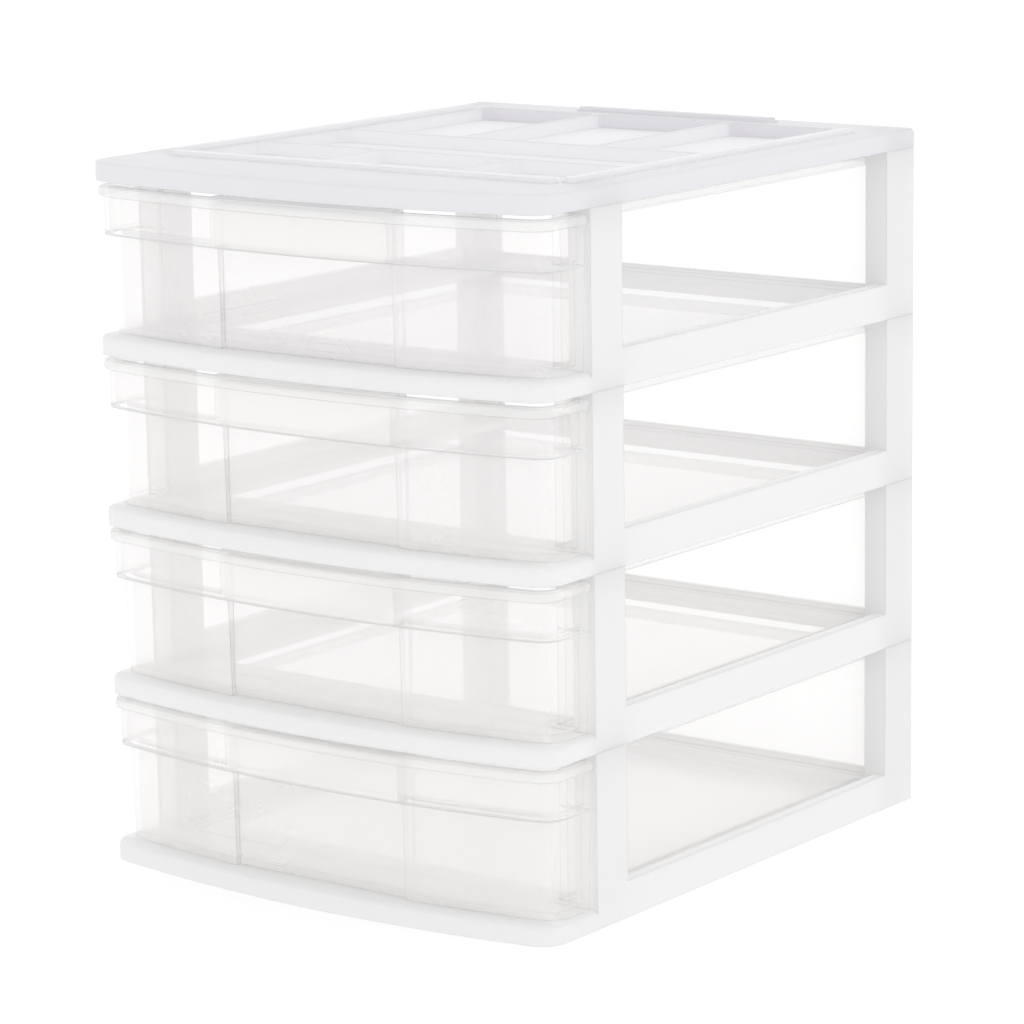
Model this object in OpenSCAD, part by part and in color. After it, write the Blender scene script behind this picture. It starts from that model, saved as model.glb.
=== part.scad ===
// Desktop mini drawers: four stacked tier frames, four clear drawers and an organiser top.
// Millimetres, +Z up, the drawers open towards -Y.
// Origin: middle of the overall width and depth, on the underside of the lowest frame.

/* [Overall] */
// width of the tier frames over both sides
frame_w = 193; // [170:1:220]
// depth of the tier frames from the middle of the front lip to the rear
frame_d = 232; // [205:1:260]
// height of one tier, from its underside to the top of its posts
tier_h = 60; // [50:0.5:75]
// how far the front bows out over the full width
bow_rise = 9.6; // [5:0.1:13]
// plan radius of the front corners
corner_r = 9.6; // [8:0.1:13]

/* [Tier frame] */
// reach of the front lip ahead of the front posts, at the middle
lip_reach = 34.8; // [30:0.2:42]
// height of the front lip and of the shelf ring
lip_h = 6.6; // [5.6:0.1:8]
// height of the side rails between the posts
rail_h = 12.6; // [9:0.1:14]
// thickness of the side rails
rail_t = 4.4; // [3:0.1:6]
// height of the low rear wall
rear_wall_h = 9.4; // [8:0.1:12]
// wall thickness of the frame mouldings
frame_wall = 2.2; // [1.8:0.1:2.6]
// thickness of the shelf ring
deck_t = 2.2; // [1.8:0.1:2.6]
// width of a post, seen from the front
post_w = 8.8; // [7.8:0.1:12]
// depth of a front post, seen from the side
front_post_d = 17.4; // [13:0.1:22]
// depth of a rear post, seen from the side
rear_post_d = 18; // [13:0.1:22]
// width of the shelf ring along each side
ring_side_w = 20.5; // [19:0.5:30]
// depth of the shelf ring behind the front lip, from the front posts' front faces
front_deck_d = 12; // [4:0.5:24]
// depth of the shelf ring at the rear
rear_deck_d = 16; // [8:0.5:24]
// height of the locating pegs on top of the posts
peg_h = 4.2; // [2.5:0.1:4.4]
// play around a peg in its socket, each side
peg_play = 0.2; // [0.1:0.05:0.4]
// play over a peg in the organiser top's socket
peg_top_play = 0.4; // [0.2:0.1:0.6]
// thickness of a post's closed top, under its peg
post_top_t = 5.2; // [3:0.1:7]
// rounding of the upper edge of the front lip
lip_round = 1.6; // [0.5:0.1:2]

/* [Drawer] */
// wall thickness of the clear drawers
drawer_wall = 1.8; // [1.4:0.1:2.2]
// clearance between the drawer rim and the posts, each side
side_play = 0.45; // [0.35:0.05:1]
// clearance under the tier above
top_play = 1.7; // [0.6:0.1:2.4]
// height of the rolled rim
rim_h = 3.8; // [3:0.1:4.4]
// how far the rolled rim stands out of the drawer sides
rim_out = 1.8; // [1.2:0.1:2.4]
// rounding of the rolled rim
rim_round = 1.3; // [0.4:0.1:1.4]
// how far the rolled rim is set back from the front lip
rim_back = 0.4; // [0.3:0.1:1]
// plan radius of the rim's front corners
rim_corner_r = 9.4; // [8:0.1:12]
// how far the rim of the wide front is set in from the frame sides
rim_in = 0.2; // [0:0.1:0.6]
// height of the stepped-out band of the front, rim included
band_h = 17; // [14:0.1:24]
// how far the band is set back from the front lip
band_back = 2.6; // [2.4:0.1:3.2]
// plan radius of the band's front corners
band_corner_r = 8; // [6:0.1:11]
// how far the band and the lower wall are set in from the frame sides
wide_in = 1.3; // [0.8:0.1:2]
// how far the wide front reaches, short of the front posts
wide_gap = 1.5; // [1:0.1:3]
// how far the lower front wall is set back from the front lip
wall_back = 5.8; // [5.2:0.1:7]
// plan radius of the lower wall's front corners
wall_corner_r = 10; // [8:0.1:13]
// gap between the lower front wall and the front lip
foot_play = 0.35; // [0.2:0.05:0.5]
// lean of the lower front wall and of the wide sides, top to bottom
front_lean = 1; // [0:0.1:1.6]
// half the width of the pull panel
pull_half_w = 37; // [25:0.5:50]
// clear depth of the finger gap behind the pull panel
finger_gap = 4.4; // [4.2:0.1:6]
// thickness of the pull panel
pull_t = 1.5; // [1.2:0.1:1.8]
// thickness of the plastic over the finger gap
pull_top_t = 2; // [1.2:0.1:2.6]
// thickness of the drawer floor
floor_t = 1.8; // [1.4:0.1:2.4]
// height of the runner strips under the floor
runner_h = 0.6; // [0.4:0.1:1]
// width of the runner strips
runner_w = 4; // [2:0.5:6]
// distance from the drawer's side to a runner strip
runner_in = 2.95; // [1:0.05:5]
// distance from the front posts' front faces to the runner strips
runner_front = 3; // [0:0.5:10]
// distance from the runner strips' rear ends to the drawer's rear
runner_rear = 6; // [3:0.5:10]
// gap between the drawer's rear rim and the frame's rear wall
rear_gap = 2.6; // [1.5:0.1:8]

/* [Organiser top] */
// overhang of the top beyond the tier frames
top_over = 0.4; // [0:0.1:1]
// height of the top's side walls
top_h = 6.8; // [6.4:0.1:9]
// wall thickness of the top
top_wall = 2; // [1.6:0.1:2.4]
// plan radius of the top's rear corners
top_corner_r = 2; // [1.5:0.1:4]
// rounding of the top's upper edge
top_round = 1; // [0.4:0.1:1.4]
// depth of the pockets
pocket_depth = 4.8; // [4.2:0.1:5]
// thickness of the pocket floors
pocket_floor = 1.5; // [1.2:0.1:1.6]
// distance from the frame's sides to the pockets
pocket_side = 14.5; // [13.5:0.5:20]
// distance from the front posts' front faces to the pockets
pocket_front = 10; // [6:0.5:12]
// wall thickness around and under the pockets
pocket_wall = 1.8; // [1.2:0.1:2]
// half the distance between the two dividers of a row
divider_half = 29; // [20:0.5:36]
// thickness of the dividers
divider_t = 2.2; // [1.6:0.1:3]
// depth of the front row of pockets
front_row_d = 39.5; // [20:0.5:50]
// depth of the long middle tray
tray_d = 42; // [20:0.5:44]
// distance from the rear row of pockets to the frame's rear
pocket_rear = 17.3; // [15.3:0.5:60.3]
// plan radius of the pocket corners
pocket_r = 3.4; // [1:0.1:4]
// height of the stacking ridges above the top face
ridge_h = 1.6; // [1:0.1:2]
// width of the stacking ridges
ridge_w = 4.6; // [3:0.1:5]
// height of the low step along the foot of the stacking ridges
ridge_step_h = 0.6; // [0.3:0.1:0.8]
// width of that step on each side
ridge_step_w = 0.9; // [0.4:0.1:1.2]
// distance from the frame's sides to the middle of the side ridges
ridge_side = 12; // [8:0.5:12.5]
// distance from the front posts' front faces to the side ridges
ridge_front = 4.4; // [3:0.1:12]
// distance from the side ridges' ends to the frame's rear
ridge_rear = 23.6; // [12:0.1:40]
// distance from the frame's sides to the front ridge's ends
front_ridge_side = 14.9; // [12:0.1:40]
// distance from the front posts' front faces to the middle of the front ridge
front_ridge_in = 1.5; // [0:0.1:3]
// length of the rear ridge
rear_ridge_l = 86.2; // [40:0.2:140]
// distance from the middle of the rear ridge to the frame's rear
rear_ridge_in = 9.2; // [6:0.1:12]

/* [Hidden] */
$fn = 96;
// overlap of pieces that are joined, and how far cuts reach past the shape
e = 0.01;
beyond = 5;
half_w = frame_w / 2;
front_y = -frame_d / 2;
rear_y = frame_d / 2;
post_y = front_y + lip_reach;
bow_r = (half_w * half_w + bow_rise * bow_rise) / (2 * bow_rise);
bow_y = front_y + bow_r;
top_z = 4 * tier_h;
// drawer sizes, all from the frame that holds it
rim_top = tier_h - top_play;
rim_z = rim_top - rim_h;
band_z = tier_h - top_play - band_h;
body_half_w = half_w - post_w - side_play;
body_side = body_half_w - rim_out;
drawer_y = post_y - wide_gap;
drawer_rear = rear_y - frame_wall - rear_gap;
wide_half_w = half_w - wide_in;
floor_z = lip_h + runner_h;
front_z = lip_h + foot_play;
pull_wall_y = front_y + band_back + bow_r - sqrt(bow_r * bow_r - pull_half_w * pull_half_w)
  + pull_t + finger_gap;
socket_w = post_w - 2 * frame_wall;
ring_open_half_w = half_w - ring_side_w;
pocket_half_w = half_w - pocket_side;
pocket_y = post_y + pocket_front;
row_2_y = pocket_y + front_row_d + divider_t;
row_3_y = row_2_y + tray_d + divider_t;
pocket_end = rear_y - pocket_rear;
pocket_floor_z = top_z + top_h - pocket_depth;

white = [0.93, 0.93, 0.935];
clear = [0.86, 0.90, 0.93, 0.4];

// y of a front corner's centre, for half width w, set back by back, corner radius r;
// the corner stands a hair proud of the bow where the two meet
function corner_y(w, back, r) = bow_y - sqrt(pow(bow_r - back - r, 2) - pow(w - r, 2)) - 0.05;

// side of a slab from z0 to z1, as [inset, z] points: bevelled by low below and by high above
function bevels(z0, z1, low, high) = concat(
  low > 0 ? [[low, z0], [0.3 * low, z0 + 0.3 * low], [0, z0 + low]] : [[0, z0]],
  high > 0 ? [[0, z1 - high], [0.3 * high, z1 - 0.3 * high], [high, z1]] : [[0, z1]]);

// a solid with the bowed front and rounded front corners; rear edge at y1, rear corners of radius rr.
// side is its outside in section, as [inset, z] points from the bottom to the top.
module bowed_solid(w, back, r, y1, side, rr = 0) {
  cy = corner_y(w, back, r);
  z0 = side[0][1];
  z1 = side[len(side) - 1][1];
  // half the width of the bow, up to where the corners take over
  wb = (w - r) * (bow_r - back) / (bow_r - back - r);
  module turned(at, radius, inner) translate(at) rotate_extrude()
    polygon(concat([[inner, z0]], [for (p = side) [radius - p[0], p[1]]], [[inner, z1]]));
  intersection() {
    turned([0, bow_y, 0], bow_r - back, bow_y - y1 + rr, $fn = 360);
    translate([-wb, front_y - beyond, z0]) cube([2 * wb, y1 - rr - front_y + beyond, z1 - z0]);
  }
  for (s = [-1, 1]) turned([s * (w - r), cy, 0], r, 0);
  translate([0, y1 - rr, 0]) rotate([90, 0, 0]) linear_extrude(y1 - rr - cy)
    polygon(concat([for (p = side) [w - p[0], p[1]]],
      [for (i = [len(side) - 1:-1:0]) [side[i][0] - w, side[i][1]]]));
  if (rr > 0) {
    for (s = [-1, 1]) turned([s * (w - rr), y1 - rr, 0], rr, 0, $fn = 48);
    translate([rr - w, y1 - rr, 0]) rotate([90, 0, 90]) linear_extrude(2 * (w - rr))
      polygon(concat([[-rr, z0]], [for (p = side) [rr - p[0], p[1]]], [[-rr, z1]]));
  }
}

// inside of a post at y0, d deep, or with play the peg that fits it
module socket(y0, d, h, play = 0) {
  translate([half_w - post_w + frame_wall + play, y0 + frame_wall + play, 0])
    cube([socket_w - 2 * play, d - 2 * frame_wall - 2 * play, h]);
}

module post(y0, d) {
  difference() {
    union() {
      translate([half_w - post_w, y0, 0]) cube([post_w, d, tier_h]);
      translate([0, 0, tier_h - e]) socket(y0, d, peg_h + e, peg_play);
    }
    translate([0, 0, -beyond]) socket(y0, d, tier_h - post_top_t + beyond);
  }
}

module tier_frame() {
  difference() {
    union() {
      // shelf ring with its skirt
      difference() {
        union() {
          bowed_solid(half_w, 0, corner_r, post_y + frame_wall, bevels(0, lip_h, 0, lip_round));
          translate([-half_w, post_y, 0]) cube([frame_w, rear_y - post_y, lip_h]);
        }
        bowed_solid(half_w - frame_wall, frame_wall, corner_r - frame_wall,
          rear_y - frame_wall, bevels(-beyond, lip_h - deck_t, 0, 0));
        translate([-ring_open_half_w, post_y + front_deck_d, -beyond])
          cube([2 * ring_open_half_w, rear_y - rear_deck_d - post_y - front_deck_d, lip_h + 2 * beyond]);
      }
      // side rails
      for (s = [-1, 1]) translate([s * (half_w - rail_t / 2) - rail_t / 2, post_y + frame_wall / 2, 0])
        cube([rail_t, rear_y - post_y - frame_wall, rail_h]);
      // low rear wall
      translate([-half_w + frame_wall / 2, rear_y - frame_wall, 0])
        cube([frame_w - frame_wall, frame_wall, rear_wall_h]);
      for (s = [0, 1]) mirror([s, 0, 0]) {
        translate([half_w - post_w, post_y, 0]) cube([post_w, front_post_d, lip_h]);
        translate([half_w - post_w, rear_y - rear_post_d, 0]) cube([post_w, rear_post_d, lip_h]);
      }
    }
    for (s = [0, 1]) mirror([s, 0, 0]) translate([0, 0, -beyond]) {
      socket(post_y, front_post_d, rail_h + 2 * beyond);
      socket(rear_y - rear_post_d, rear_post_d, rail_h + 2 * beyond);
    }
  }
  for (s = [0, 1]) mirror([s, 0, 0]) {
    post(post_y, front_post_d);
    post(rear_y - rear_post_d, rear_post_d);
  }
}

// rim of the body between the posts, bevelled at its outer edges
module body_rim() {
  x = body_half_w;
  c = 0.6 * rim_round;
  y0 = drawer_y - rim_out;
  translate([0, drawer_rear, 0]) rotate([90, 0, 0]) linear_extrude(drawer_rear - y0)
    polygon([[c - x, rim_z], [x - c, rim_z], [x, rim_z + c], [x, rim_top - c],
      [x - c, rim_top], [c - x, rim_top], [-x, rim_top - c], [-x, rim_z + c]]);
}

module drawer() {
  inner_w = wide_half_w - drawer_wall;
  // the body reaches this far into the wide front part
  lap = corner_r;
  body_y1 = drawer_rear - rim_out;
  difference() {
    union() {
      // wide front part: leaning lower wall, band and rolled rim
      bowed_solid(wide_half_w, wall_back, wall_corner_r, drawer_y,
        [[front_lean, front_z], [0, band_z + 1]]);
      bowed_solid(wide_half_w, band_back, band_corner_r, drawer_y, bevels(band_z, rim_top - 1, 0, 0));
      bowed_solid(half_w - rim_in, rim_back, rim_corner_r, drawer_y,
        bevels(rim_z, rim_top, rim_round, rim_round));
      // body between the posts, with its rim
      translate([-body_side, drawer_y - lap, floor_z])
        cube([2 * body_side, body_y1 - drawer_y + lap, rim_top - floor_z]);
      body_rim();
      // runner strips
      for (s = [0, 1]) mirror([s, 0, 0])
        translate([body_side - runner_in - runner_w, post_y + runner_front, lip_h])
          cube([runner_w, drawer_rear - runner_rear - post_y - runner_front, runner_h + e]);
    }
    // inside of the wide front part
    difference() {
      union() {
        bowed_solid(inner_w - front_lean, wall_back + drawer_wall + front_lean,
          wall_corner_r - drawer_wall - front_lean, drawer_y - drawer_wall,
          bevels(floor_z + floor_t, rim_top + beyond, 0, 0));
        bowed_solid(inner_w, band_back + drawer_wall, band_corner_r - drawer_wall,
          drawer_y - drawer_wall, bevels(band_z + drawer_wall, rim_top + beyond, 0, 0));
      }
      // the wall behind the pull stays upright
      translate([-pull_half_w - drawer_wall, front_y - beyond, -beyond])
        cube([2 * (pull_half_w + drawer_wall), pull_wall_y + drawer_wall - front_y + beyond,
          tier_h + 3 * beyond]);
    }
    // inside of the body
    translate([drawer_wall - body_side, drawer_y - lap + drawer_wall, floor_z + floor_t])
      cube([2 * (body_side - drawer_wall), body_y1 - 2 * drawer_wall - drawer_y + lap, tier_h]);
    // finger gap behind the bowed pull panel, open underneath
    intersection() {
      translate([0, bow_y, 0])
        cylinder(r = bow_r - band_back - pull_t, h = rim_top - pull_top_t, $fn = 360);
      translate([-pull_half_w, front_y, 0])
        cube([2 * pull_half_w, pull_wall_y - front_y, rim_top - pull_top_t]);
    }
    translate([-pull_half_w, front_y - beyond, -beyond])
      cube([2 * pull_half_w, pull_wall_y - front_y + beyond, band_z + beyond]);
  }
}

module pocket(x0, x1, y0, y1) {
  h = pocket_depth + 1;
  r = pocket_r;
  translate([0, 0, pocket_floor_z]) {
    translate([x0 + r, y0, 0]) cube([x1 - x0 - 2 * r, y1 - y0, h]);
    translate([x0, y0 + r, 0]) cube([x1 - x0, y1 - y0 - 2 * r, h]);
    for (x = [x0 + r, x1 - r], y = [y0 + r, y1 - r]) translate([x, y, 0])
      cylinder(r = r, h = h, $fn = 32);
  }
}

module pocket_row(y0, d) {
  pocket(-pocket_half_w, -divider_half - divider_t / 2, y0, y0 + d);
  pocket(-divider_half + divider_t / 2, divider_half - divider_t / 2, y0, y0 + d);
  pocket(divider_half + divider_t / 2, pocket_half_w, y0, y0 + d);
}

// a bar with rounded ends on the top face, from [x0, y0] to [x1, y1], along X or along Y
module bar(x0, y0, x1, y1, h) {
  long_y = y1 - y0 > x1 - x0;
  r = min(x1 - x0, y1 - y0) / 2;
  ends = long_y ? [[x0 + r, y0 + r], [x0 + r, y1 - r]] : [[x0 + r, y0 + r], [x1 - r, y0 + r]];
  translate([0, 0, top_z + top_h - e]) {
    if (long_y) translate([x0, y0 + r, 0]) cube([x1 - x0, y1 - y0 - 2 * r, h + e]);
    else translate([x0 + r, y0, 0]) cube([x1 - x0 - 2 * r, y1 - y0, h + e]);
    for (p = ends) translate([p[0], p[1], 0]) cylinder(r = r, h = h + e);
  }
}

// a stacking ridge: a bar with a low step along its foot
module ridge(x0, y0, x1, y1) {
  s = ridge_step_w;
  bar(x0, y0, x1, y1, ridge_h);
  bar(x0 - s, y0 - s, x1 + s, y1 + s, ridge_step_h);
}

module stacking_ridges() {
  h = ridge_w / 2;
  front_x = half_w - front_ridge_side;
  front_ridge_y = post_y + front_ridge_in;
  rear_ridge_y = rear_y - rear_ridge_in;
  for (x = [ridge_side - half_w, half_w - ridge_side])
    ridge(x - h, post_y + ridge_front, x + h, rear_y - ridge_rear);
  ridge(-front_x, front_ridge_y - h, front_x, front_ridge_y + h);
  ridge(-rear_ridge_l / 2, rear_ridge_y - h, rear_ridge_l / 2, rear_ridge_y + h);
}

module organiser_top() {
  w = half_w + top_over;
  y1 = rear_y + top_over;
  color(white) {
    difference() {
      union() {
        difference() {
          bowed_solid(w, -top_over, corner_r + top_over, y1,
            bevels(top_z, top_z + top_h, 0, top_round), top_corner_r);
          bowed_solid(w - top_wall, top_wall - top_over, corner_r + top_over - top_wall,
            y1 - top_wall, bevels(top_z - beyond, top_z + top_h - top_wall, 0, 0));
        }
        // block that holds the pockets
        translate([-pocket_half_w - pocket_wall, pocket_y - pocket_wall, pocket_floor_z - pocket_floor])
          cube([2 * (pocket_half_w + pocket_wall), pocket_end - pocket_y + 2 * pocket_wall, pocket_depth]);
        // sockets over the post pegs
        for (s = [0, 1]) mirror([s, 0, 0]) {
          translate([half_w - post_w, post_y, top_z])
            cube([post_w, front_post_d, top_h - top_wall / 2]);
          translate([half_w - post_w, rear_y - rear_post_d, top_z])
            cube([post_w, rear_post_d, top_h - top_wall / 2]);
        }
      }
      for (s = [0, 1]) mirror([s, 0, 0]) translate([0, 0, top_z - beyond]) {
        socket(post_y, front_post_d, beyond + peg_h + peg_top_play);
        socket(rear_y - rear_post_d, rear_post_d, beyond + peg_h + peg_top_play);
      }
      pocket_row(pocket_y, front_row_d);
      pocket(-pocket_half_w, pocket_half_w, row_2_y, row_2_y + tray_d);
      pocket_row(row_3_y, pocket_end - row_3_y);
    }
    stacking_ridges();
  }
}

module tier_frame_at(k) { color(white) translate([0, 0, (k - 1) * tier_h]) tier_frame(); }
module drawer_at(k) { color(clear) translate([0, 0, (k - 1) * tier_h]) drawer(); }

module tier_frame_1() { tier_frame_at(1); }
module tier_frame_2() { tier_frame_at(2); }
module tier_frame_3() { tier_frame_at(3); }
module tier_frame_4() { tier_frame_at(4); }
module drawer_1() { drawer_at(1); }
module drawer_2() { drawer_at(2); }
module drawer_3() { drawer_at(3); }
module drawer_4() { drawer_at(4); }

tier_frame_1();
tier_frame_2();
tier_frame_3();
tier_frame_4();
organiser_top();
drawer_1();
drawer_2();
drawer_3();
drawer_4();
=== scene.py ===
"""Looks of the desktop mini drawers: plastics, stage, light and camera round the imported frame.

Metres, +Z up, the drawers open towards -Y.
"""

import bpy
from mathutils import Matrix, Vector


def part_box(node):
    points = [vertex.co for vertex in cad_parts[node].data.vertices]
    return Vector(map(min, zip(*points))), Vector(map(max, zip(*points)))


bl_info = {
    "name": "Desktop mini drawers",
    "version": (1, 0, 0),
    "blender": (4, 5, 0),
    "location": "View3D > Sidebar > Mini drawers",
    "description": "Dresses the packed mini drawers and sets their studio",
    "category": "Object",
}

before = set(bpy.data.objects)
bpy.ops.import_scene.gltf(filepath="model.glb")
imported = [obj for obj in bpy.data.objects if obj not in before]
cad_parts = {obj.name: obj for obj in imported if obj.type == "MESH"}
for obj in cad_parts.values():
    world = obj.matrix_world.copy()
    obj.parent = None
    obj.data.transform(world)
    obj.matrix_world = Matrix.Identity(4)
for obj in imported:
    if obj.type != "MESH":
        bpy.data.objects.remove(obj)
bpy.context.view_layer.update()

import math

import bpy
from bpy.props import FloatProperty, FloatVectorProperty, PointerProperty
from mathutils import Matrix, Vector

TIERS = (1, 2, 3, 4)
FRAMES = [f"tier_frame_{k}" for k in TIERS]
DRAWERS = [f"drawer_{k}" for k in TIERS]
TOP = "organiser_top"

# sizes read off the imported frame
TIER_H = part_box("drawer_2")[0].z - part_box("drawer_1")[0].z
DRAWER_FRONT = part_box("drawer_1")[0].y
RIM_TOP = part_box("drawer_1")[1].z
TOP_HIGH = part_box(TOP)[1].z

# bounds of the painted light on the white mouldings: within them the faces are painted paler, to
# lift their shade
PAINTED_LIGHT_X, PAINTED_LIGHT_Y = (-0.0945, 0.0945), (-0.1015, 0.0965)
# height of the stacking ridges over the flat upper face of the organiser top
RIDGE_H = 0.0016
# how thin a layer counts as a flat face that is looked for by its height
SKIN = 0.0001

# where the finish of the drawers changes, and where the painted shade of the hem line goes;
# heights are over the foot of a storey
PANEL_X, PANEL_FOOT, PANEL_DEPTH = (-0.037, 0.037), 0.0414, 0.0042
ROLL_H = 0.0038
HEM_Z, HEM_Y = (0.0410, 0.0419), (-0.083, -0.082)
FLOOR_Z = (0.0060, 0.0092)
FACE_Y = (-0.100, -0.097)

# colours of the white mouldings, apart from the ones in the settings
# painted light: paler whites for the faces within those bounds and the undersides of lips, to
# lift their shade
FRAME_PAINTED_LIGHT = (0.982, 0.983, 0.982, 1)
TOP_PAINTED_LIGHT = (0.935, 0.93, 0.955, 1)
GLOW = (0.965, 0.963, 0.958, 1)
# share of the light that comes through their thin walls
GLOW_SHARE = 0.3
# their roughness from the least to the most scuffed stretch, and what the grain adds to it
WHITE_ROUGH, GRAIN_ROUGH = (0.30, 0.44), 0.03
SCUFFS = (0.35, 0.75)

# colours of the little light that the drawers' plastic sends back
WALL_MILK = (0.98, 0.976, 0.973, 1)
FACE_MILK = (0.915, 0.90, 0.895, 1)
ROLL_MILK = (0.87, 0.865, 0.86, 1)
PANEL_MILK = (0.93, 0.92, 0.90, 1)
# painted shade: grey for the drawers' moulded edges, hem line and side-on faces, standing in for
# the darkening that refraction gives there
EDGE_PAINTED_SHADE = (0.32, 0.32, 0.33, 1)

# share of the light that stops at a drawer's surface: on a plain wall, from the clearest to
# the cloudiest flow marks, and what each other stretch adds to it
WALL_SHARE = (0.08, 0.12)
FACE_SHARE, PANEL_SHARE, ROLL_SHARE, FLOOR_SHARE = 0.19, 0.16, 0.22, 0.05
# the painted shade lines of side-on faces, edges and hem stop light by these shares
SIDE_ON_SHARE, EDGE_SHARE, HEM_SHARE = 0.40, 0.60, 0.35
# roughness of a drawer's surface, and what full frosting adds to it
WALL_ROUGH, FROST_ROUGH = (0.06, 0.14), 0.35
FLOW_MARKS = (0.3, 0.7)

# the stage
WHITE = (1, 1, 1, 1)
FLOOR_HALF, FLOOR_LIGHT = 15.0, 0.12
FLOOR_PATCHES = (0.965, 0.965, 0.965, 1), (0.975, 0.975, 0.975, 1)
KEY_SIZE, KEY_AT, KEY_AIM = 1.2, (1.7, -0.1, 0.8), (0, 0, 0.12)
GAMMA = 1.35
SENSOR_W = 36
NEAR, FAR = 0.05, 60


# ---------------------------------------------------------------- settings


class PlasticSettings(bpy.types.PropertyGroup):
    """Colours and finishes of the plastics."""

    frame_colour: FloatVectorProperty(
        name="Frame colour", description="White of the tier frames",
        subtype="COLOR", size=3, min=0, max=1, default=(0.88, 0.88, 0.882))
    top_colour: FloatVectorProperty(
        name="Top colour", description="Slightly cooler white of the organiser top",
        subtype="COLOR", size=3, min=0, max=1, default=(0.80, 0.79, 0.83))
    clear_tint: FloatVectorProperty(
        name="Clear tint", description="Tint of the clear drawer plastic",
        subtype="COLOR", size=3, min=0, max=1, default=(0.997, 0.995, 0.994))
    edge_radius: FloatProperty(
        name="Edge radius", description="How round the moulded edges look",
        subtype="DISTANCE", unit="LENGTH", min=0, max=0.002, default=0.0006)


class StudioSettings(bpy.types.PropertyGroup):
    """Camera and light."""

    lens: FloatProperty(
        name="Lens", description="Focal length on a 36 mm sensor, in millimetres",
        min=20, max=400, default=145.74)
    camera_at: FloatVectorProperty(
        name="Camera position", description="Where the camera stands",
        subtype="TRANSLATION", unit="LENGTH", size=3, default=(0.86687, -1.14727, 0.40797))
    yaw: FloatProperty(
        name="Yaw", description="Turn of the view to the left of straight ahead",
        subtype="ANGLE", unit="ROTATION", default=math.radians(37.001))
    pitch: FloatProperty(
        name="Pitch", description="How far the view looks down",
        subtype="ANGLE", unit="ROTATION", default=math.radians(11.458))
    roll: FloatProperty(
        name="Roll", description="Lean of the camera about its own line of sight",
        subtype="ANGLE", unit="ROTATION", default=math.radians(-0.863))
    sky: FloatProperty(
        name="Surrounding light", description="Strength of the white surroundings",
        min=0, max=5, default=1.03)
    key_power: FloatProperty(
        name="Key light", description="Power of the large soft light on the right, in watts",
        min=0, max=100, default=0.9)


# ---------------------------------------------------------------- node helpers


class Sheet:
    """A short hand for wiring one node tree."""

    def __init__(self, tree):
        self.tree = tree
        tree.nodes.clear()

    def node(self, kind, **values):
        """A node whose properties and unlinked inputs are given by name."""
        n = self.tree.nodes.new(kind)
        for key, value in values.items():
            if hasattr(n, key):
                setattr(n, key, value)
            else:
                n.inputs[key.replace("_", " ")].default_value = value
        return n

    def link(self, a, b):
        self.tree.links.new(a, b)

    def put(self, socket, value):
        """Links value to the socket if it is an output, or else sets it."""
        if isinstance(value, bpy.types.NodeSocket):
            self.link(value, socket)
        else:
            socket.default_value = value

    def math(self, operation, a, b=0.0, clamp=False):
        """Arithmetic on two values, each a number or an output."""
        n = self.tree.nodes.new("ShaderNodeMath")
        n.operation = operation
        n.use_clamp = clamp
        self.put(n.inputs[0], a)
        self.put(n.inputs[1], b)
        return n.outputs[0]

    def span(self, value, a0, a1, b0, b1):
        """value carried from a0..a1 to b0..b1, clamped."""
        n = self.tree.nodes.new("ShaderNodeMapRange")
        for i, v in enumerate((value, a0, a1, b0, b1)):
            self.put(n.inputs[i], v)
        return n.outputs[0]

    def between(self, value, low, high, soft=0.0003):
        """1 where value lies between low and high, 0 elsewhere."""
        up = self.span(value, low - soft, low + soft, 0, 1)
        down = self.span(value, high - soft, high + soft, 1, 0)
        return self.math("MULTIPLY", up, down)

    def noise(self, coords, scale, detail=2.0, rough=0.5, stretch=None):
        """Soft noise, on coordinates that are stretched first where stretch is given."""
        if stretch:
            m = self.node("ShaderNodeMapping", Scale=stretch)
            self.link(coords, m.inputs["Vector"])
            coords = m.outputs["Vector"]
        n = self.node("ShaderNodeTexNoise", Scale=scale, Detail=detail, Roughness=rough)
        self.link(coords, n.inputs["Vector"])
        return n.outputs["Fac"]

    def mix(self, factor, a, b):
        """The colour between a and b."""
        n = self.tree.nodes.new("ShaderNodeMix")
        n.data_type = "RGBA"
        self.put(n.inputs["Factor"], factor)
        self.put(n.inputs["A"], a)
        self.put(n.inputs["B"], b)
        return n.outputs["Result"]

    def parts(self, coords):
        """The x, y and z of a coordinate."""
        n = self.node("ShaderNodeSeparateXYZ")
        self.link(coords, n.inputs[0])
        return n.outputs

    def blend(self, factor, a, b):
        """Two shaders in one."""
        n = self.node("ShaderNodeMixShader")
        self.put(n.inputs[0], factor)
        self.link(a.outputs[0], n.inputs[1])
        self.link(b.outputs[0], n.inputs[2])
        return n

    def surface(self, shader, kind="ShaderNodeOutputMaterial"):
        """Ends the tree in this shader."""
        self.link(shader.outputs[0], self.node(kind).inputs["Surface"])


def new_material(name):
    """A material and the sheet of its node tree."""
    m = bpy.data.materials.get(name) or bpy.data.materials.new(name)
    m.use_nodes = True
    return m, Sheet(m.node_tree)


def shaded(colour, factor=1.0):
    """A colour with its brightness changed, and no transparency."""
    return (*(min(1, c * factor) for c in colour), 1)


# ---------------------------------------------------------------- plastics


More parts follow.
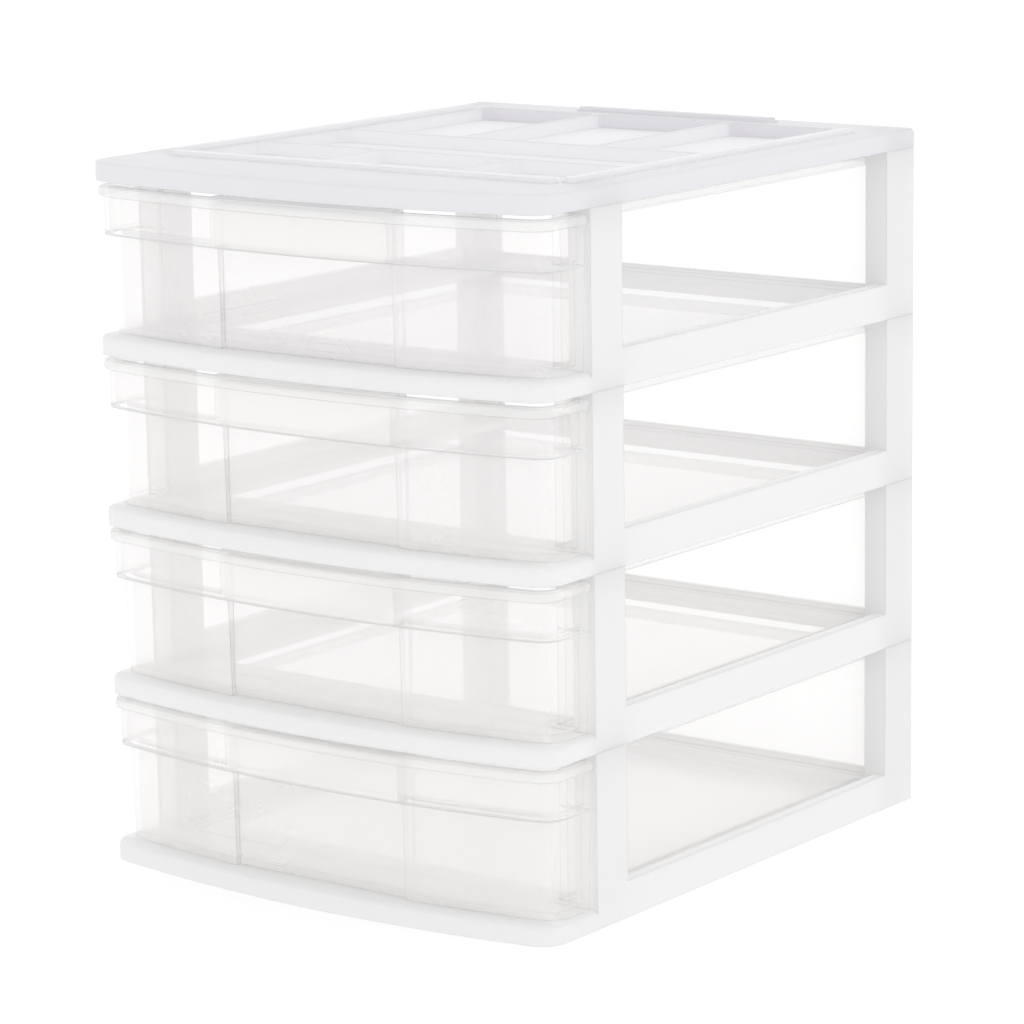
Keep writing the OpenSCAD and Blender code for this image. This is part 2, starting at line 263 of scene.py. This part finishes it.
def moulded_white(name, colour, painted_light, edge):
    """Opaque moulded plastic: soft gloss, faint flow marks, fine grain and light handling scuffs.

    The colour given for the thin walls and pocket floors within the bounds, and for the
    undersides of lips and rails, is a paler white painted as light, to lift their shade.
    """
    m, s = new_material(name)
    at = s.node("ShaderNodeTexCoord").outputs["Object"]
    flow = s.noise(at, 9.0, 2.0)
    grain = s.noise(at, 1800.0, 2.0)
    scuff = s.noise(at, 60.0, 4.0, 0.6, stretch=(1, 1, 9))
    shade = s.mix(flow, shaded(colour, 0.985), shaded(colour, 1.01))
    x, y, z = s.parts(at)
    painted_light_zone = s.math("MULTIPLY", s.between(x, *PAINTED_LIGHT_X), s.between(y, *PAINTED_LIGHT_Y))
    # the flat upper face of the top gets no painted light and keeps the outer colour
    flat_z = TOP_HIGH - RIDGE_H
    flat = s.between(z, flat_z - SKIN, flat_z + SKIN, SKIN)
    painted_light_zone = s.math("SUBTRACT", painted_light_zone, flat, clamp=True)
    # painted light on the undersides of lips and rails, at the foot of every storey but the
    # lowest, to lift the shade of the gaps under them
    painted_underside = s.between(s.math("PINGPONG", z, TIER_H / 2), -10 * SKIN, SKIN, SKIN)
    painted_underside = s.math("MULTIPLY", painted_underside, s.math("GREATER_THAN", z, 10 * SKIN))
    # painted light: the paler colour goes within the bounds and on the undersides
    shade = s.mix(s.math("MAXIMUM", painted_light_zone, painted_underside), shade, painted_light)
    worn = s.span(scuff, *SCUFFS, *WHITE_ROUGH)
    rough = s.math("ADD", worn, s.math("MULTIPLY", grain, GRAIN_ROUGH))
    round_edge = s.node("ShaderNodeBevel", samples=3, Radius=edge)
    bump = s.node("ShaderNodeBump", Strength=0.06, Distance=0.0002)
    s.link(grain, bump.inputs["Height"])
    s.link(round_edge.outputs[0], bump.inputs["Normal"])
    p = s.node("ShaderNodeBsdfPrincipled", IOR=1.49)
    s.link(shade, p.inputs["Base Color"])
    s.link(rough, p.inputs["Roughness"])
    s.link(bump.outputs[0], p.inputs["Normal"])
    # thin walls let some light through
    glow = s.node("ShaderNodeBsdfTranslucent", Color=GLOW)
    s.surface(s.blend(GLOW_SHARE, p, glow))
    return m


def clear_plastic(name, tint):
    """Clear moulded plastic: see-through, milkier in front and in its thick rim.

    Grey lines are painted shade for the darkening that refraction gives at its moulded edges,
    along the hem line and where it is seen side-on. The pull panel is frosted, and the floor has
    a fine moulded texture.
    """
    m, s = new_material(name)
    at = s.node("ShaderNodeTexCoord").outputs["Object"]
    x, y, z = s.parts(at)
    storey = s.math("FLOORED_MODULO", z, TIER_H)
    roll_foot = RIM_TOP - ROLL_H
    # the pull panel: the middle of the band, in front of the finger gap
    panel = s.math("MULTIPLY", s.between(x, *PANEL_X), s.between(storey, PANEL_FOOT, roll_foot))
    panel_y = s.between(y, DRAWER_FRONT - 0.001, DRAWER_FRONT + PANEL_DEPTH)
    panel = s.math("MULTIPLY", panel, panel_y)
    rolled = s.between(storey, roll_foot, RIM_TOP + 0.0005, 0.0001)
    hem = s.math("MULTIPLY", s.between(storey, *HEM_Z, 0.0002), s.span(y, *HEM_Y, 1, 0))
    floor = s.between(storey, *FLOOR_Z)
    face = s.span(y, *FACE_Y, 1, 0)
    grain = s.noise(at, 700.0, 2.0)
    flow = s.noise(at, 14.0, 3.0)
    frost = s.math("MAXIMUM", panel, s.math("MULTIPLY", floor, 0.25))
    bump = s.node("ShaderNodeBump", Strength=0.12, Distance=0.0003)
    s.link(s.math("MULTIPLY", grain, frost), bump.inputs["Height"])

    # moulded edges, found where a rounded normal departs from the surface's own; they get painted
    # shade below
    rounded = s.node("ShaderNodeBevel", samples=2, Radius=0.0005)
    own = s.node("ShaderNodeNewGeometry").outputs["Normal"]
    agree = s.node("ShaderNodeVectorMath", operation="DOT_PRODUCT")
    s.link(rounded.outputs[0], agree.inputs[0])
    s.link(own, agree.inputs[1])
    edge = s.span(agree.outputs["Value"], 0.99, 0.80, 0.0, 1.0)
    weight = s.node("ShaderNodeLayerWeight", Blend=0.5)
    s.link(bump.outputs[0], weight.inputs["Normal"])
    side_on = s.math("POWER", weight.outputs["Facing"], 7.0)

    solid = s.span(flow, *FLOW_MARKS, *WALL_SHARE)
    thick = ((face, FACE_SHARE), (panel, PANEL_SHARE), (rolled, ROLL_SHARE), (floor, FLOOR_SHARE))
    lines = ((side_on, SIDE_ON_SHARE), (edge, EDGE_SHARE), (hem, HEM_SHARE))
    for mask, share in thick + lines:
        solid = s.math("ADD", solid, s.math("MULTIPLY", mask, share))
    solid = s.math("MINIMUM", solid, 1.0)

    skin = s.node("ShaderNodeBsdfPrincipled", IOR=1.45)
    milk = s.mix(face, WALL_MILK, FACE_MILK)
    milk = s.mix(rolled, milk, ROLL_MILK)
    milk = s.mix(panel, milk, PANEL_MILK)
    # painted shade: edges, hem line and side-on faces turn grey, standing in for the darkening by
    # refraction
    painted_shade = s.math("MAXIMUM", s.math("MULTIPLY", hem, 0.45), s.math("MAXIMUM", edge, side_on))
    s.link(s.mix(painted_shade, milk, EDGE_PAINTED_SHADE), skin.inputs["Base Color"])
    smooth = s.span(flow, *FLOW_MARKS, *WALL_ROUGH)
    rough = s.math("ADD", smooth, s.math("MULTIPLY", frost, FROST_ROUGH))
    s.link(rough, skin.inputs["Roughness"])
    s.link(bump.outputs[0], skin.inputs["Normal"])
    through = s.node("ShaderNodeBsdfTransparent", Color=shaded(tint))
    s.surface(s.blend(solid, through, skin))
    return m


def dress(node, material):
    """Gives a CAD node one material."""
    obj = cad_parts[node]
    obj.data.materials.clear()
    obj.data.materials.append(material)


# ---------------------------------------------------------------- stage


def lay_floor(scene):
    """A large plain floor at the object's underside."""
    h = FLOOR_HALF
    mesh = bpy.data.meshes.new("floor")
    mesh.from_pydata([(-h, -h, 0), (h, -h, 0), (h, h, 0), (-h, h, 0)], [], [(0, 1, 2, 3)])
    floor = bpy.data.objects.new("floor", mesh)
    scene.collection.objects.link(floor)
    m, s = new_material("floor_white")
    at = s.node("ShaderNodeTexCoord").outputs["Object"]
    p = s.node(
        "ShaderNodeBsdfPrincipled", Roughness=0.9, Specular_IOR_Level=0.0,
        Emission_Color=WHITE, Emission_Strength=FLOOR_LIGHT)
    s.link(s.mix(s.noise(at, 3.0), *FLOOR_PATCHES), p.inputs["Base Color"])
    s.surface(p)
    mesh.materials.append(m)


def light_studio(scene, studio):
    """White surroundings and one large soft light on the right."""
    world = bpy.data.worlds.new("studio")
    scene.world = world
    world.use_nodes = True
    s = Sheet(world.node_tree)
    sky = s.node("ShaderNodeBackground", Color=WHITE, Strength=studio.sky)
    s.surface(sky, "ShaderNodeOutputWorld")
    lamp = bpy.data.lights.new("key", "AREA")
    lamp.size, lamp.energy = KEY_SIZE, studio.key_power
    key = bpy.data.objects.new("key", lamp)
    key.location = KEY_AT
    key.rotation_euler = (Vector(KEY_AIM) - key.location).to_track_quat("-Z", "Y").to_euler()
    scene.collection.objects.link(key)
    scene.view_settings.view_transform = "Standard"
    scene.view_settings.gamma = GAMMA
    # a line of sight crosses many clear walls, and light is passed on many times in a storey
    scene.cycles.transparent_max_bounces = 40
    scene.cycles.diffuse_bounces = 18
    scene.cycles.max_bounces = 24


def place_camera(scene, studio):
    """The photograph's view: right-handed camera axes from yaw, pitch and roll."""
    y, p, r = studio.yaw, studio.pitch, studio.roll
    ahead = Vector((-math.sin(y) * math.cos(p), math.cos(y) * math.cos(p), -math.sin(p)))
    right = Vector((math.cos(y), math.sin(y), 0))
    up = right.cross(ahead)
    cam = bpy.data.objects.new("camera", bpy.data.cameras.new("camera"))
    scene.collection.objects.link(cam)
    across = right * math.cos(r) + up * math.sin(r)
    over = up * math.cos(r) - right * math.sin(r)
    turn = Matrix((across, over, -ahead)).transposed().to_4x4()
    cam.matrix_world = Matrix.Translation(studio.camera_at) @ turn
    cam.data.sensor_width = SENSOR_W
    cam.data.lens = studio.lens
    cam.data.clip_start, cam.data.clip_end = NEAR, FAR
    scene.camera = cam


# ---------------------------------------------------------------- operators


class DRAWERS_OT_frames(bpy.types.Operator):
    """Gives the four tier frames their white plastic"""

    bl_idname = "mini_drawers.frames"
    bl_label = "Dress the tier frames"

    def execute(self, context):
        look = context.scene.plastics
        white = moulded_white("frame_white", look.frame_colour, FRAME_PAINTED_LIGHT, look.edge_radius)
        for name in FRAMES:
            dress(name, white)
        return {"FINISHED"}


class DRAWERS_OT_top(bpy.types.Operator):
    """Gives the organiser top its cooler white plastic"""

    bl_idname = "mini_drawers.top"
    bl_label = "Dress the organiser top"

    def execute(self, context):
        look = context.scene.plastics
        dress(TOP, moulded_white("top_white", look.top_colour, TOP_PAINTED_LIGHT, look.edge_radius))
        return {"FINISHED"}


class DRAWERS_OT_drawers(bpy.types.Operator):
    """Gives the four drawers their clear plastic"""

    bl_idname = "mini_drawers.drawers"
    bl_label = "Dress the drawers"

    def execute(self, context):
        look = context.scene.plastics
        clear = clear_plastic("clear_plastic", look.clear_tint)
        for name in DRAWERS:
            dress(name, clear)
        return {"FINISHED"}


class DRAWERS_OT_stage(bpy.types.Operator):
    """Lays the floor, sets the light and places the camera"""

    bl_idname = "mini_drawers.stage"
    bl_label = "Set the studio"

    def execute(self, context):
        scene = context.scene
        lay_floor(scene)
        light_studio(scene, scene.studio)
        place_camera(scene, scene.studio)
        return {"FINISHED"}


class DRAWERS_PT_panel(bpy.types.Panel):
    """Lists the steps"""

    bl_label = "Mini drawers"
    bl_idname = "DRAWERS_PT_panel"
    bl_space_type = "VIEW_3D"
    bl_region_type = "UI"
    bl_category = "Mini drawers"

    def draw(self, context):
        for step in STEPS:
            self.layout.operator(step.bl_idname)
        for group in (context.scene.plastics, context.scene.studio):
            for key in group.__annotations__:
                self.layout.prop(group, key)


STEPS = (DRAWERS_OT_frames, DRAWERS_OT_top, DRAWERS_OT_drawers, DRAWERS_OT_stage)
CLASSES = (PlasticSettings, StudioSettings, *STEPS, DRAWERS_PT_panel)


def register():
    for c in CLASSES:
        bpy.utils.register_class(c)
    bpy.types.Scene.plastics = PointerProperty(type=PlasticSettings)
    bpy.types.Scene.studio = PointerProperty(type=StudioSettings)


def unregister():
    del bpy.types.Scene.plastics, bpy.types.Scene.studio
    for c in reversed(CLASSES):
        bpy.utils.unregister_class(c)


def main():
    """Runs every step in order."""
    register()
    bpy.ops.mini_drawers.frames()
    bpy.ops.mini_drawers.top()
    bpy.ops.mini_drawers.drawers()
    bpy.ops.mini_drawers.stage()


if __name__ == "__main__":
    main()
